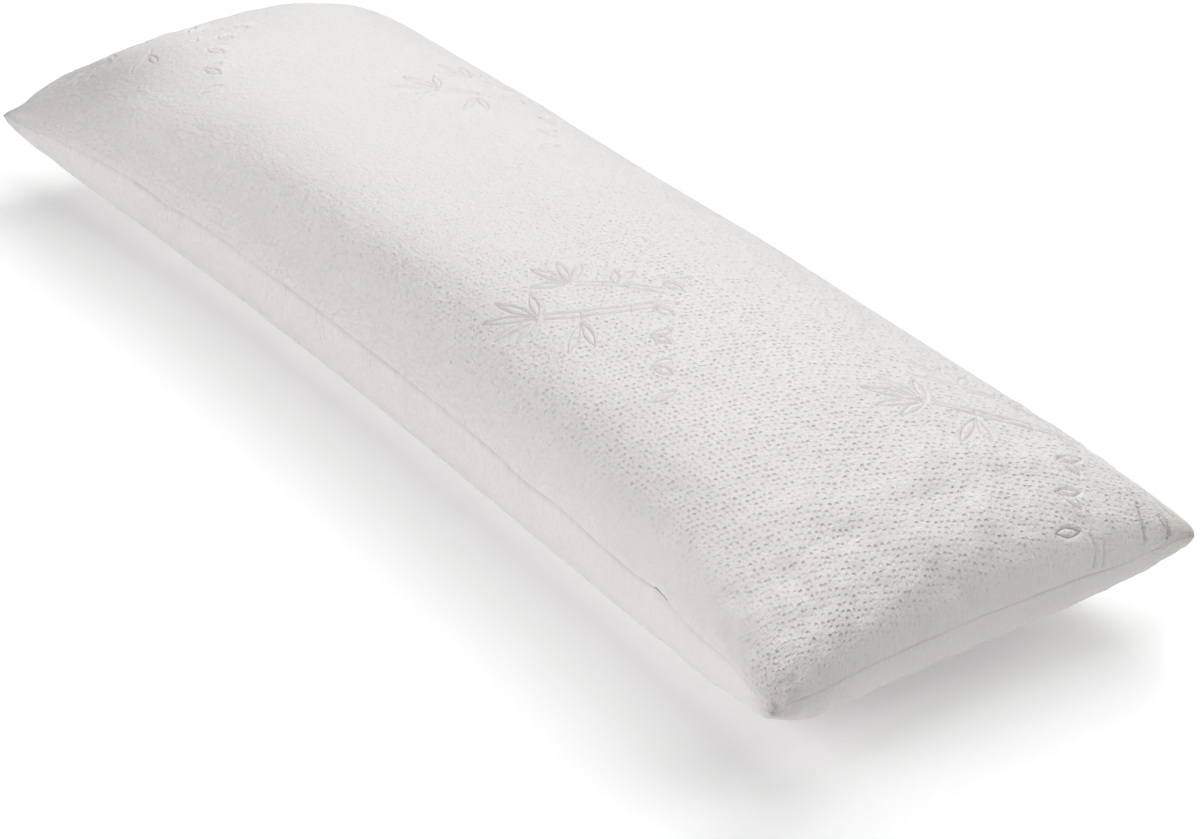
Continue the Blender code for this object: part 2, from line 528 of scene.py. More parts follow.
def stemStrokes(stem):
    # two lines side by side, with a short line across at each joint
    foot, head = Vector(stem["foot"]), Vector(stem["head"])
    side = (head - foot).orthogonal().normalized() * stem["width"] / 2
    taper = sprig["stemTaper"]
    edges = [arc(foot + side * k, head + side * k * taper, stem["bow"]) for k in (-1, 1)]
    strokes = list(edges)
    for share in stem["joints"]:
        index = round(share * (len(edges[0]) - 1))
        left, right = edges[0][index], edges[1][index]
        over = (right - left) * sprig["jointOver"]
        strokes.append([left - over, right + over])
    return strokes


def sprigStrokes():
    strokes = []
    for stem in sprig["stems"]:
        strokes += stemStrokes(stem)
    for fan in sprig["fans"]:
        for turn, length in zip(fan["turns"], fan["lengths"]):
            turn = math.radians(turn)
            gap = Vector((math.cos(turn), math.sin(turn))) * sprig["leafGap"]
            strokes += leafStrokes(Vector(fan["at"]) + gap, turn, length, sprig["leafWidth"])
    return strokes


def leafRowStrokes():
    strokes = []
    for k in range(leafRow["leaves"]):
        share = 2 * k / (leafRow["leaves"] - 1) - 1
        height = leafRow["arch"] * (1 - share**2) + leafRow["base"]
        base = Vector((share * leafRow["length"] / 2, height))
        lean = math.radians(90 + leafRow["lean"] * (-1) ** k)
        strokes += leafStrokes(base, lean, leafRow["leaf"], leafRow["leafWidth"])
    return strokes


def placedStrokes():
    # every stroke of every group, in metres on the flat cut, inside the seam
    cosine, sine = math.cos(groups["turn"]), math.sin(groups["turn"])
    below = groups["rowFromSprig"]
    own = [[point * mm for point in stroke] for stroke in sprigStrokes()]
    own += [[point * mm + below for point in stroke] for stroke in leafRowStrokes()]
    placed = []
    for s, t in groups["sprigs"]:
        for stroke in own:
            x, y = np.array(stroke).T
            turned = [x * cosine - y * sine + s, x * sine + y * cosine + t]
            placed.append(np.transpose(turned))
    return placed


def strokeTree(strokes):
    # the strokes as close points, so that the distance to the nearest is quick to find
    points = []
    for stroke in strokes:
        for start, end in zip(stroke[:-1], stroke[1:]):
            count = max(1, math.ceil(math.dist(start, end) / motif["step"]))
            points += [start + (end - start) * k / count for k in range(count)]
        points.append(stroke[-1])
    points = [p for p in points if seamDistance(p[None])[0] > motif["clearOfSeam"]]
    tree = kdtree.KDTree(len(points))
    for index, point in enumerate(points):
        tree.insert((*point, 0), index)
    tree.balance()
    return tree


def strokeDistance(tree, flat):
    away = np.full(len(flat), 1.0)
    for index in np.flatnonzero(flat[:, 2] > 0.5):
        away[index] = tree.find((flat[index, 0], flat[index, 1], 0))[2]
    return away


def refineNear(bm, distance, reaches):
    # halves the cells once for each reach, where they lie nearer than it
    for reach in reaches:
        faces = list(bm.faces)
        centres = np.array([face.calc_center_median()[:] for face in faces])
        near = [face for face, away in zip(faces, distance(centres)) if away < reach]
        chosen = {edge for face in near for edge in face.edges}
        edges = [edge for edge in bm.edges if edge in chosen]
        bmesh.ops.subdivide_edges(bm, edges=edges, cuts=1, use_grid_fill=True)


# Creases on the flat cut's top panel, where the cloth gathers behind the far tip. Each is a
# soft trough with a low ridge on its right: the trough's depth and half width, the ridge's
# height, and the path, all in millimetres.
creases = [
    (2.0, 1.5, 1.4, [(576, 180), (590, 187), (608, 184), (631, 174), (654, 167), (668, 165)]),
    (1.6, 1.4, 0.9, [(594, 194), (606, 191), (618, 187), (630, 183)]),
    (1.7, 1.4, 1.2, [(610, 202), (624, 197), (640, 196), (652, 196), (676, 189)]),
    (1.5, 1.2, 0.8, [(641, 191), (655, 190), (672, 193)]),
    (1.5, 1.4, 0.8, [(618, 208), (632, 208), (644, 213)]),
    (2.0, 1.6, 1.2, [(548, 216), (566, 207), (585, 202), (608, 208), (628, 214), (648, 221)]),
    (1.7, 1.5, 0.9, [(488, 160), (488, 180), (498, 193), (525, 197), (553, 190)]),
    (1.5, 1.4, 0.7, [(648, 113), (662, 112), (678, 110)]),
    (1.3, 1.3, 0.5, [(655, 123), (668, 121), (680, 119)]),
]
ridgePlace, ridgeHalf = 2.2, 1.3  # of each ridge, in half widths of its trough

# Swells and hollows under the cloth, in millimetres on the flat top panel: the middle along
# and across, how far they reach along and across, and how high they rise
swells = [
    # the full shoulder above the near seam, and the flatter crown behind it
    (-120, -148, 290, 34, 6.0),
    (160, -176, 130, 26, 3.5),
    (-200, 5, 240, 62, -4.5),
    (290, -168, 32, 30, 4.0),
    (250, -105, 60, 30, -4.0),
    (210, 50, 90, 42, 5.5),
    (50, -25, 50, 30, -3.0),
    (80, 75, 45, 30, 3.0),
    # the back end
    (-475, -50, 48, 80, 5.0),
    (-550, 75, 36, 36, 4.5),
    (-620, -222, 60, 30, -6.5),
    # the front end
    (430, -95, 42, 55, 6.0),
    (428, 5, 42, 36, 3.5),
    (578, -108, 36, 48, -8.0),
    (575, 40, 36, 40, -5.0),
    (645, 50, 26, 50, 3.0),
    (560, 160, 46, 30, 3.5),
    (450, -226, 60, 26, -4.5),
    (425, 120, 40, 36, -2.5),
    # the smaller lumps there
    (583, -112, 20, 20, 2.6),
    (560, -86, 16, 16, -1.8),
    (592, -160, 17, 17, 2.4),
    (620, -84, 15, 15, -2.0),
    (640, -128, 18, 18, 1.6),
    (603, 30, 24, 24, 2.6),
    (566, -12, 22, 22, -2.0),
    (618, 84, 18, 18, -1.6),
    (500, -140, 24, 24, -1.6),
    (520, -190, 22, 22, 1.6),
]

# Lumps of the filling, and how high each size of them stands: everywhere, at the front end,
# and in a band along the shoulder above the near seam
lumps = [
    {"size": 34 * mm, "seed": 7.3, "everywhere": 0.5 * mm, "front": 1.8 * mm, "band": 1.4 * mm},
    {"size": 17 * mm, "seed": 1.9, "everywhere": 0.15 * mm, "front": 1.0 * mm, "band": 0.6 * mm},
    {"size": 9 * mm, "seed": 4.4, "everywhere": 0.05 * mm, "front": 0.4 * mm, "band": 0.25 * mm},
]
lumpy = {
    "front": (0.34, 0.62),  # where they rise to the front's height, along the cut
    "band": (-0.168, 0.038),  # its middle across the cut, and its reach
    "farSide": (0.11, 0.19),  # across the cut, they sink from here to here
    "farSunk": 0.75,  # by this share
    "underneath": 0.45,
    "fadeIn": 30 * mm,  # from the seam
    "finerFrom": 0.40,  # along the cut, the mesh is halved once for them from here on
    "finer": 8 * mm,  # as if a stroke lay this near
}

# The seam, where the panels turn in together
seam = {
    "depth": 0.6 * mm,
    "uneven": 0.45,  # the share of the depth that comes and goes along it
    "unevenEvery": 30 * mm,
    "halfWidth": 0.9 * mm,
    "closed": (27.5 * mm, 55 * mm),  # it closes up this near to the blunt tip
    "pucker": 0.55 * mm,
    "puckerEvery": 11 * mm,
    "puckerFrom": 4 * mm,
    "puckerReach": 16 * mm,
    "swellIn": 24 * mm,  # the swells under the cloth rise to their height this far in
    "pull": 1.9 * mm,  # the soft folds that run in from the ends
    "pullEvery": 17 * mm,
    "pullNarrow": 0.2,  # how wide each is, as a share of its length
    "pullFrom": 0.585,
    "pullFull": 0.655,
    "pullIn": 10 * mm,
    "nickAt": 0.476,  # along the near side, where the seam gapes a little
    "nickHalf": 9 * mm,
    "nickWidth": 1.17 * mm,
    "nickDepth": 1.1 * mm,
    "nickReach": 1 * mm,  # the stitches follow the seam's points that lie this near to it
    "shade": (0.7, 0.5 * mm),  # how dark the painted shade inside it is, and how far out that reaches
    # how far the painted shade reaches out from a crease's middle
    "creaseShade": 0.6 * mm,
}


def smoothStep(low, high, value):
    share = np.clip((value - low) / (high - low), 0, 1)
    return share * share * (3 - 2 * share)


def smoothPath(points, steps=5):
    # a curve through the points, eased at each
    points = [Vector(p) for p in points]
    points = [points[0] * 2 - points[1], *points, points[-1] * 2 - points[-2]]
    curve = []
    for before, start, end, after in zip(points, points[1:], points[2:], points[3:]):
        for k in range(steps):
            f = k / steps
            curve.append(
                (
                    start * 2
                    + (end - before) * f
                    + (before * 2 - start * 5 + end * 4 - after) * f**2
                    + (start * 3 - before - end * 3 + after) * f**3
                )
                / 2
            )
    return curve + [points[-2]]


def pathDistance(path, flat):
    # how far each point lies from the path, and which side of it: 1 on the right
    away, side = np.full(len(flat), 1.0), np.ones(len(flat))
    for start, end in zip(path[:-1], path[1:]):
        start, run = np.array(start), np.array(end) - np.array(start)
        share = np.clip(((flat[:, :2] - start) @ run) / (run @ run), 0, 1)
        gap = flat[:, :2] - start - share[:, None] * run
        length = np.hypot(gap[:, 0], gap[:, 1])
        side = np.where(length < away, np.sign(gap[:, 0] * run[1] - gap[:, 1] * run[0]), side)
        away = np.minimum(away, length)
    return away, side


def creaseRelief(flat):
    # the creases' own relief, and the distance to the nearest
    out, nearest = np.zeros(len(flat)), np.full(len(flat), 1.0)
    top = flat[:, 2] > 0
    for depth, half, ridge, points in creases:
        path = [point * mm for point in smoothPath(points)]
        away, side = pathDistance(path, flat)
        trough = depth * hump(away, 0, half * mm)
        beside = ridge * hump(away * side, ridgePlace * half * mm, ridgeHalf * half * mm)
        out += (beside - trough) * mm * top
        nearest = np.where(top, np.minimum(nearest, away), nearest)
    return out, nearest


def nickDistance(flat):
    along = np.maximum(np.abs(flat[:, 0] - seam["nickAt"]) - seam["nickHalf"], 0)
    return np.hypot(along, flat[:, 1] + cut["width"] / 2)


def noiseAt(flat, size, seed):
    # soft unevenness of this size, up and down about 0. Each panel has its own.
    return np.array([noise.noise((s / size, t / size, panel * 5 + seed)) for s, t, panel in flat])


def seamStrength(flat):
    # how open the seam lies: it comes and goes, and closes up at the blunt tip
    fromTip = np.hypot(cut["length"] / 2 - flat[:, 0], cut["width"] / 2 + flat[:, 1])
    openness = smoothStep(*seam["closed"], fromTip)
    return openness * (1 + seam["uneven"] * 2 * noiseAt(flat, seam["unevenEvery"], 8.8))


def seamRelief(flat, edge, strength):
    # the groove, the nick, the puckers beside them and the folds that run in from the ends
    out = -seam["depth"] * strength * hump(edge, 0, seam["halfWidth"])
    out -= seam["nickDepth"] * hump(nickDistance(flat), 0, seam["nickWidth"])
    puckers = noiseAt(flat, seam["puckerEvery"], 2.1)
    out += seam["pucker"] * puckers * hump(edge, seam["puckerFrom"], seam["puckerReach"])
    pulls = noiseAt(flat * [seam["pullNarrow"], 1, 1], seam["pullEvery"], 6.1)
    ends = smoothStep(seam["pullFrom"], seam["pullFull"], np.abs(flat[:, 0]))
    return out + seam["pull"] * pulls * ends * smoothStep(0, seam["pullIn"], edge)


def swellRelief(flat, edge):
    s, t, top = flat[:, 0], flat[:, 1], flat[:, 2] > 0
    out = np.zeros(len(flat))
    for middleS, middleT, reachS, reachT, rise in swells:
        along = hump(s, middleS * mm, reachS * mm)
        across = hump(t, middleT * mm, reachT * mm)
        out += rise * mm * along * across
    return out * top * smoothStep(0, seam["swellIn"], edge)


def lumpRelief(flat, edge):
    s, t, top = flat[:, 0], flat[:, 1], flat[:, 2] > 0
    front = smoothStep(*lumpy["front"], s)
    band = hump(t, *lumpy["band"]) * top
    calm = 1 - lumpy["farSunk"] * smoothStep(*lumpy["farSide"], t)
    calm *= np.where(top, 1, lumpy["underneath"])
    out = np.zeros(len(flat))
    for lump in lumps:
        height = lump["everywhere"] + (lump["front"] - lump["everywhere"]) * front
        height = np.maximum(height, lump["band"] * band)
        out += height * 2 * noiseAt(flat, lump["size"], lump["seed"])
    return out * calm * smoothStep(0, lumpy["fadeIn"], edge)


def motifRelief(strokeAway):
    # the line itself, and the cloth puffed up on either side of it
    line = motif["depth"] * hump(strokeAway, 0, motif["halfWidth"])
    return motif["puff"] * hump(strokeAway, motif["puffFrom"], motif["puffReach"]) - line


def detailDistance(tree, flat):
    # the distance to the nearest stroke, nick or crease. The lumpy front counts as close by.
    away = np.minimum(strokeDistance(tree, flat), nickDistance(flat))
    away = np.minimum(away, creaseRelief(flat)[1] + cut["creaseFarther"])
    inFront = (flat[:, 2] > 0.5) & (flat[:, 0] > lumpy["finerFrom"])
    return np.where(inFront, np.minimum(away, lumpy["finer"]), away)


# Where the knit lies slack enough to show its dimples: each pair is from where to where they
# flatten out
slackness = {
    "sides": (0.160, 0.235),  # across the cut
    "ends": (0.630, 0.686),  # along it
    "seam": (15 * mm, 4 * mm),  # in from the seam
    "back": (0.48, -0.42),  # along the cut, towards the back
    "backShare": 0.18,  # what is left of them there
    "stroke": (3.2 * mm, 1.5 * mm),  # away from a stroke
    "roundTip": (0.628, -0.206),  # but they are full round here
    "roundTipReach": 66 * mm,
    "underneath": 0.5,
}

# The crinkle is full beside the seams, lower on the crown, and fades among the front's dimples
crinkle = {"sides": (0.11, 0.16), "crown": 0.72, "front": (0.10, 0.50), "frontFade": 0.9}

# Handling has yellowed the far tip a little. These patches along the shoulder above the near
# seam, at the back end and at the front end are given painted shade, in millimetres
yellowTip = {"s": 0.676, "t": 0.212, "reach": 100 * mm}
paintedShadePatches = [
    {"s": -560, "t": -150, "along": 90, "across": 60, "share": 0.27},
    {"s": -300, "t": -135, "along": 170, "across": 40, "share": 0.085},
    {"s": 60, "t": -150, "along": 190, "across": 36, "share": 0.10},
    {"s": 390, "t": -175, "along": 150, "across": 34, "share": 0.10},
    {"s": 585, "t": -215, "along": 60, "across": 40, "share": 0.06},
    {"s": 640, "t": -60, "along": 36, "across": 110, "share": 0.04},
]


def dimpleSlack(flat, strokeAway, edge):
    s, t, top = flat[:, 0], flat[:, 1], flat[:, 2] > 0
    sides = 1 - smoothStep(*slackness["sides"], np.abs(t))
    ends = 1 - smoothStep(*slackness["ends"], np.abs(s))
    tipS, tipT = slackness["roundTip"]
    tip = 1 - smoothStep(0, slackness["roundTipReach"], np.hypot(s - tipS, t - tipT))
    left = slackness["backShare"]
    slack = np.maximum(sides * ends, tip * top)
    slack *= left + (1 - left) * (1 - smoothStep(*slackness["back"], s))
    slack *= 1 - smoothStep(*slackness["stroke"], strokeAway)
    slack *= 1 - smoothStep(*slackness["seam"], edge)
    return slack * np.where(top, 1, slackness["underneath"])


def coverFields(flat, strokeAway, edge, strength, creaseAway):
    # what the knit's material reads at each point
    s, t, top = flat[:, 0], flat[:, 1], flat[:, 2] > 0
    crepe = crinkle["crown"] + (1 - crinkle["crown"]) * smoothStep(*crinkle["sides"], np.abs(t))
    crepe *= 1 - crinkle["frontFade"] * smoothStep(*crinkle["front"], s)
    # painted shade inside the seam where it lies open, and in the creases
    paintedShade, paintedShadeReach = seam["shade"]
    shade = paintedShade * strength * hump(edge, 0, paintedShadeReach)
    shade = np.maximum(shade, hump(creaseAway, 0, seam["creaseShade"]))
    fromTip = np.hypot(s - yellowTip["s"], t - yellowTip["t"])
    # painted shade on the patches along the near shoulder and the ends
    patchShade = np.zeros(len(flat))
    for patch in paintedShadePatches:
        along = hump(s, patch["s"] * mm, patch["along"] * mm)
        patchShade += patch["share"] * along * hump(t, patch["t"] * mm, patch["across"] * mm)
    return {
        "fromStroke": np.minimum(strokeAway, motif["farAway"]),
        "slack": dimpleSlack(flat, strokeAway, edge),
        "crepe": crepe,
        "shade": np.clip(shade, 0, 1),
        "yellowed": 1 - smoothStep(0, yellowTip["reach"], fromTip),
        "dulled": patchShade * top,
    }


def nickPoints(flat, points):
    # the top panel's own points along the nick, in order, for the stitches to follow
    onSeam = (seamDistance(flat) < 0.1 * mm) & (flat[:, 1] < 0) & (flat[:, 2] > 0)
    chosen = onSeam & (nickDistance(flat) < seam["nickReach"])
    order = np.lexsort(flat[chosen].T[::-1])  # by s, then t, then the panel
    return points[chosen][order]


def buildCover():
    fields = settleCover()
    tree = strokeTree(placedStrokes())
    bm = flatPanels(cut["cell"], cut["seamRows"])
    refineNear(bm, lambda flat: detailDistance(tree, flat), cut["halvings"])
    flat = vertArray(bm.verts)
    uv = bm.loops.layers.uv.new("cut")
    for face in bm.faces:
        face.smooth = True
        for loop in face.loops:
            loop[uv].uv = loop.vert.co.xy
    points = filledPoint(*flat.T)
    if fields is not None:
        share = (flat[:, 2:] + 1) / 2
        upper = smoothSample(fields[1], flat[:, 0], flat[:, 1])
        lower = smoothSample(fields[0], flat[:, 0], flat[:, 1])
        points += lower + (upper - lower) * share
    setVerts(bm, points)
    bm.normal_update()
    outward = np.array([vert.normal[:] for vert in bm.verts])
    edge, strength = seamDistance(flat), seamStrength(flat)
    strokeAway = strokeDistance(tree, flat)
    folds, creaseAway = creaseRelief(flat)
    relief = seamRelief(flat, edge, strength) + motifRelief(strokeAway) + folds
    relief += swellRelief(flat, edge) + lumpRelief(flat, edge)
    points += outward * relief[:, None]
    points[:, 2] = np.maximum(points[:, 2], 0)
    setVerts(bm, points)
    mesh = bpy.data.meshes.new("pillowCover")
    bm.to_mesh(mesh)
    bm.free()
    read = coverFields(flat, strokeAway, edge, strength, creaseAway)
    for name, values in read.items():
        mesh.attributes.new(name, "FLOAT", "POINT").data.foreach_set("value", values)
    cover = linkedObject("pillowCover", mesh)
    triangles = sum(len(face.vertices) - 2 for face in mesh.polygons)
    print("cover:", len(mesh.polygons), "faces,", triangles, "triangles")
    return cover, nickPoints(flat, points)


# Jacquard knit of viscose and polyester: soft matt white, pinned down in small dimples
knit = {
    "colour": "#f0ebeb",
    # painted shade: the colour that the dimples, the motif's lines, the seam and the creases
    # darken towards
    "paintedShadeColour": "#b9b4b1",
    "yellowColour": "#e4dccf",
    "yellowShare": 0.30,
    "dimplePitch": 6.8 * mm,  # along a row of dimples
    "rowPitch": 5.2 * mm,
    "rowShift": 2.3 * mm,  # from each row to the next
    "wander": 0.45,
    # how far the painted shade in a dimple reaches from its middle
    "dimpleShadeRadius": 1.15 * mm,
    "hollowRadius": 2.3 * mm,
    "dimpleDepth": 1.35 * mm,
    # how much painted shade darkens a dimple's middle
    "dimplePaintedShade": 0.24,
    "weakest": 0.45,  # the strength of the weakest dimple
    "stronger": 0.60,  # how much stronger the strongest is
    # painted shade along the motif's lines, and how far out it reaches
    "strokePaintedShade": 0.45,
    "strokeShadeReach": 0.9 * mm,
    "foldPaintedShade": 0.32,  # painted shade down in the seam and the creases
    "clouds": 14.0,  # the tone drifts a little, this many times in a metre
    "cloudFrom": 0.985,
    "cloudRise": 0.03,
    "crepe": 6.5 * mm,  # the crinkle all over, from this size down
    "crepeHeight": 2.9 * mm,
    "pebble": 3.4 * mm,  # the soft unevenness between the dimples
    "pebbleHeight": 0.8 * mm,
    "rib": 2.4 * mm,  # fine ribs that run in from the seams, where the cloth is pulled tight
    "ribLength": 14 * mm,
    "ribHeight": 1.0 * mm,
    "sideRibs": (0.10, 0.20),  # across the cut, they rise from here to here
    "endRibs": (0.56, 0.64),
    "grain": 1.1 * mm,  # a loop is 0.6 mm, too fine to show, so this is coarser
    "grainLength": 2.8 * mm,  # across the pillow, as the courses of the knit run
    "grainHeight": 0.55 * mm,
    "roughness": 0.92,
    "specular": 0.25,
    "sheen": 0.15,  # the fuzz of the yarn
}


def knitMaterial():
    material = bpy.data.materials.new("jacquardKnit")
    material.use_nodes = True
    tree = material.node_tree
    shader = tree.nodes["Principled BSDF"]

    def mathNode(operation, first, second=0.0):
        settings, inputs = {"operation": operation}, {0: first, 1: second}
        return addNode(tree, "ShaderNodeMath", settings, inputs).outputs[0]

    def ramp(value, low, high):
        node = addNode(
            tree,
            "ShaderNodeMapRange",
            {"interpolation_type": "SMOOTHSTEP"},
            {"Value": value, "From Min": low, "From Max": high},
        )
        return node.outputs["Result"]

    def cloudNode(place, scale, detail=2.0, roughness=0.55):
        settings = {"noise_dimensions": "2D"}
        inputs = {"Vector": place, "Scale": scale, "Detail": detail, "Roughness": roughness}
        return addNode(tree, "ShaderNodeTexNoise", settings, inputs).outputs["Fac"]

    def stretched(along, across):
        x = mathNode("DIVIDE", s, along)
        y = mathNode("DIVIDE", t, across)
        return addNode(tree, "ShaderNodeCombineXYZ", inputs={"X": x, "Y": y}).outputs[0]

    def mixColour(factor, first, second):
        inputs = {"Factor": factor, 6: first, 7: second}
        return addNode(tree, "ShaderNodeMix", {"data_type": "RGBA"}, inputs).outputs[2]

    def bumpNode(height, distance, under=None):
        inputs = {"Strength": 1.0, "Distance": distance, "Height": height}
        if under is not None:
            inputs["Normal"] = under
        return addNode(tree, "ShaderNodeBump", inputs=inputs).outputs[0]

    place = addNode(tree, "ShaderNodeUVMap", {"uv_map": "cut"}).outputs["UV"]
    plain = addNode(tree, "ShaderNodeSeparateXYZ", inputs={0: place})
    s, t = plain.outputs["X"], plain.outputs["Y"]

    # the dimples stand on a slanting grid, made square here so that each cell holds one
    row = mathNode("DIVIDE", t, knit["rowPitch"])
    shift = mathNode("MULTIPLY", row, knit["rowShift"])
    column = mathNode("DIVIDE", mathNode("SUBTRACT", s, shift), knit["dimplePitch"])
    cell = addNode(tree, "ShaderNodeCombineXYZ", inputs={"X": column, "Y": row}).outputs[0]
    dimples = addNode(
        tree,
        "ShaderNodeTexVoronoi",
        {"voronoi_dimensions": "2D"},
        {"Vector": cell, "Scale": 1.0, "Randomness": knit["wander"]},
    )
    gap = addNode(
        tree,
        "ShaderNodeVectorMath",
        {"operation": "SUBTRACT"},
        {0: dimples.outputs["Position"], 1: cell},
    ).outputs[0]
    parts = addNode(tree, "ShaderNodeSeparateXYZ", inputs={0: gap})
    slant = mathNode("MULTIPLY", parts.outputs["Y"], knit["rowShift"])
    realX = mathNode("ADD", mathNode("MULTIPLY", parts.outputs["X"], knit["dimplePitch"]), slant)
    realY = mathNode("MULTIPLY", parts.outputs["Y"], knit["rowPitch"])
    squares = mathNode("ADD", mathNode("POWER", realX, 2.0), mathNode("POWER", realY, 2.0))
    away = mathNode("SQRT", squares)
    # the dimple's painted shade, and its hollow for the bump
    dimpleShadeMask = ramp(away, knit["dimpleShadeRadius"], 0.0)
    hollow = ramp(away, knit["hollowRadius"], 0.0)

    def attribute(name):
        return addNode(tree, "ShaderNodeAttribute", {"attribute_name": name}).outputs["Fac"]

    slack = attribute("slack")
    given = addNode(tree, "ShaderNodeSeparateColor", inputs={0: dimples.outputs["Color"]})
    each = ramp(given.outputs[0], 0.05, 0.90)  # the cell's own random number, spread wider
    uneven = mathNode("ADD", mathNode("MULTIPLY", each, knit["stronger"]), knit["weakest"])
    strength = mathNode("MULTIPLY", slack, uneven)

    # painted shade in the dimples, along the motif's lines, and in the seam and creases
    paintedShade = mathNode("MULTIPLY", mathNode("MULTIPLY", dimpleShadeMask, strength), knit["dimplePaintedShade"])
    # painted shade along the motif's lines
    stroke = ramp(attribute("fromStroke"), knit["strokeShadeReach"], 0.0)
    paintedShade = mathNode("MAXIMUM", paintedShade, mathNode("MULTIPLY", stroke, knit["strokePaintedShade"]))
    paintedShade = mathNode("MAXIMUM", paintedShade, mathNode("MULTIPLY", attribute("shade"), knit["foldPaintedShade"]))
    colour = mixColour(
        mathNode("MULTIPLY", attribute("yellowed"), knit["yellowShare"]),
        linearColour(knit["colour"]),
        linearColour(knit["yellowColour"]),
    )
    # darkened towards the painted shade's colour
    colour = mixColour(paintedShade, colour, linearColour(knit["paintedShadeColour"]))
    cloud = mathNode("MULTIPLY", cloudNode(place, knit["clouds"], 3.0), knit["cloudRise"])
    tone = mathNode("ADD", cloud, knit["cloudFrom"])
    # painted shade on the patches along the near shoulder and the ends
    tone = mathNode("SUBTRACT", tone, attribute("dulled"))
    toned = addNode(
        tree,
        "ShaderNodeVectorMath",
        {"operation": "SCALE"},
        {0: colour, "Scale": tone},
    ).outputs[0]
    tree.links.new(toned, shader.inputs["Base Color"])

    grain = cloudNode(stretched(knit["grain"], knit["grainLength"]), 1.0)
    fine = bumpNode(grain, knit["grainHeight"])
    sideRibs = mathNode(
        "MULTIPLY",
        cloudNode(stretched(knit["rib"], knit["ribLength"]), 1.0),
        ramp(mathNode("ABSOLUTE", t), *knit["sideRibs"]),
    )
    endRibs = mathNode(
        "MULTIPLY",
        cloudNode(stretched(knit["ribLength"], knit["rib"]), 1.0),
        ramp(mathNode("ABSOLUTE", s), *knit["endRibs"]),
    )
    ribbed = bumpNode(mathNode("ADD", sideRibs, endRibs), knit["ribHeight"], fine)
    crepe = cloudNode(place, 1 / knit["crepe"], 3.0, 0.6)
    crepe = mathNode("MULTIPLY", crepe, attribute("crepe"))
    creped = bumpNode(crepe, knit["crepeHeight"], ribbed)
    pebble = mathNode("MULTIPLY", cloudNode(place, 1 / knit["pebble"]), slack)
    pebbled = bumpNode(pebble, knit["pebbleHeight"], creped)
    down = mathNode("MULTIPLY", mathNode("MULTIPLY", hollow, strength), -1.0)
    dimpled = bumpNode(down, knit["dimpleDepth"], pebbled)
    tree.links.new(dimpled, shader.inputs["Normal"])
    shader.inputs["Roughness"].default_value = knit["roughness"]
    shader.inputs["Specular IOR Level"].default_value = knit["specular"]
    shader.inputs["Sheen Weight"].default_value = knit["sheen"]
    shader.inputs["Sheen Roughness"].default_value = 0.5
    return material


cover, nick = buildCover()
cover.data.materials.append(knitMaterial())
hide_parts("pillow")
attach(cover, "root")

# Where the seam gapes, its overlock stitches show between the panels
stitches = {
    "pitch": 2.8 * mm,
    "thread": 0.26 * mm,  # its radius
    "length": 1.6 * mm,
    "slant": math.radians(38),
    "out": 0.25 * mm,  # how far they stand out of the gap
    "twist": 0.5 * mm,
    "twistHeight": 0.1 * mm,
    "colour": "#6f6a68",
    "roughness": 0.8,
}


def threadMaterial():
    # spun polyester thread, dull, and dark with the gap's own shade
    material = bpy.data.materials.new("polyesterThread")
    material.use_nodes = True
    tree = material.node_tree
    shader = tree.nodes["Principled BSDF"]
    place = addNode(tree, "ShaderNodeTexCoord").outputs["Object"]
    inputs = {"Vector": place, "Scale": 1 / stitches["twist"]}
    twist = addNode(tree, "ShaderNodeTexNoise", inputs=inputs).outputs["Fac"]
    inputs = {"Strength": 0.6, "Distance": stitches["twistHeight"], "Height": twist}
    bump = addNode(tree, "ShaderNodeBump", inputs=inputs)
    tree.links.new(bump.outputs[0], shader.inputs["Normal"])
    shader.inputs["Base Color"].default_value = linearColour(stitches["colour"])
    shader.inputs["Roughness"].default_value = stitches["roughness"]
    return material


def stitchTree(material):
    # short bars of thread at even steps along a line of edges, each turned across it
    tree = bpy.data.node_groups.new("stitchRow", "GeometryNodeTree")
    sides = tree.interface
    sides.new_socket("Geometry", in_out="INPUT", socket_type="NodeSocketGeometry")
    for name in ("Pitch", "Thread", "Length", "Slant"):
        sides.new_socket(name, in_out="INPUT", socket_type="NodeSocketFloat")
    sides.new_socket("Geometry", in_out="OUTPUT", socket_type="NodeSocketGeometry")
    given = addNode(tree, "NodeGroupInput").outputs
    line = addNode(tree, "GeometryNodeMeshToCurve", inputs={"Mesh": given["Geometry"]})
    steps = addNode(
        tree,
        "GeometryNodeResampleCurve",
        {"mode": "LENGTH"},
        {"Curve": line.outputs["Curve"], "Length": given["Pitch"]},
    ).outputs["Curve"]
    bar = addNode(
        tree,
        "GeometryNodeMeshCylinder",
        inputs={"Vertices": 8, "Radius": given["Thread"], "Depth": given["Length"]},
    ).outputs["Mesh"]
    tangent = addNode(tree, "GeometryNodeInputTangent").outputs["Tangent"]
    across = addNode(tree, "FunctionNodeAlignEulerToVector", {"axis": "Z"}, {"Vector": tangent})
    lean = addNode(tree, "ShaderNodeCombineXYZ", inputs={"Y": given["Slant"]}).outputs[0]
    turned = addNode(
        tree,
        "FunctionNodeRotateEuler",
        {"space": "LOCAL"},
        {"Rotation": across.outputs["Rotation"], "Rotate By": lean},
    ).outputs["Rotation"]
    bars = addNode(
        tree,
        "GeometryNodeInstanceOnPoints",
        inputs={"Points": steps, "Instance": bar, "Rotation": turned},
    ).outputs["Instances"]
    real = addNode(tree, "GeometryNodeRealizeInstances", inputs={"Geometry": bars})
    dressed = addNode(
        tree,
        "GeometryNodeSetMaterial",
        inputs={"Geometry": real.outputs["Geometry"], "Material": material},
    ).outputs["Geometry"]
    addNode(tree, "NodeGroupOutput", inputs={"Geometry": dressed})
    return tree


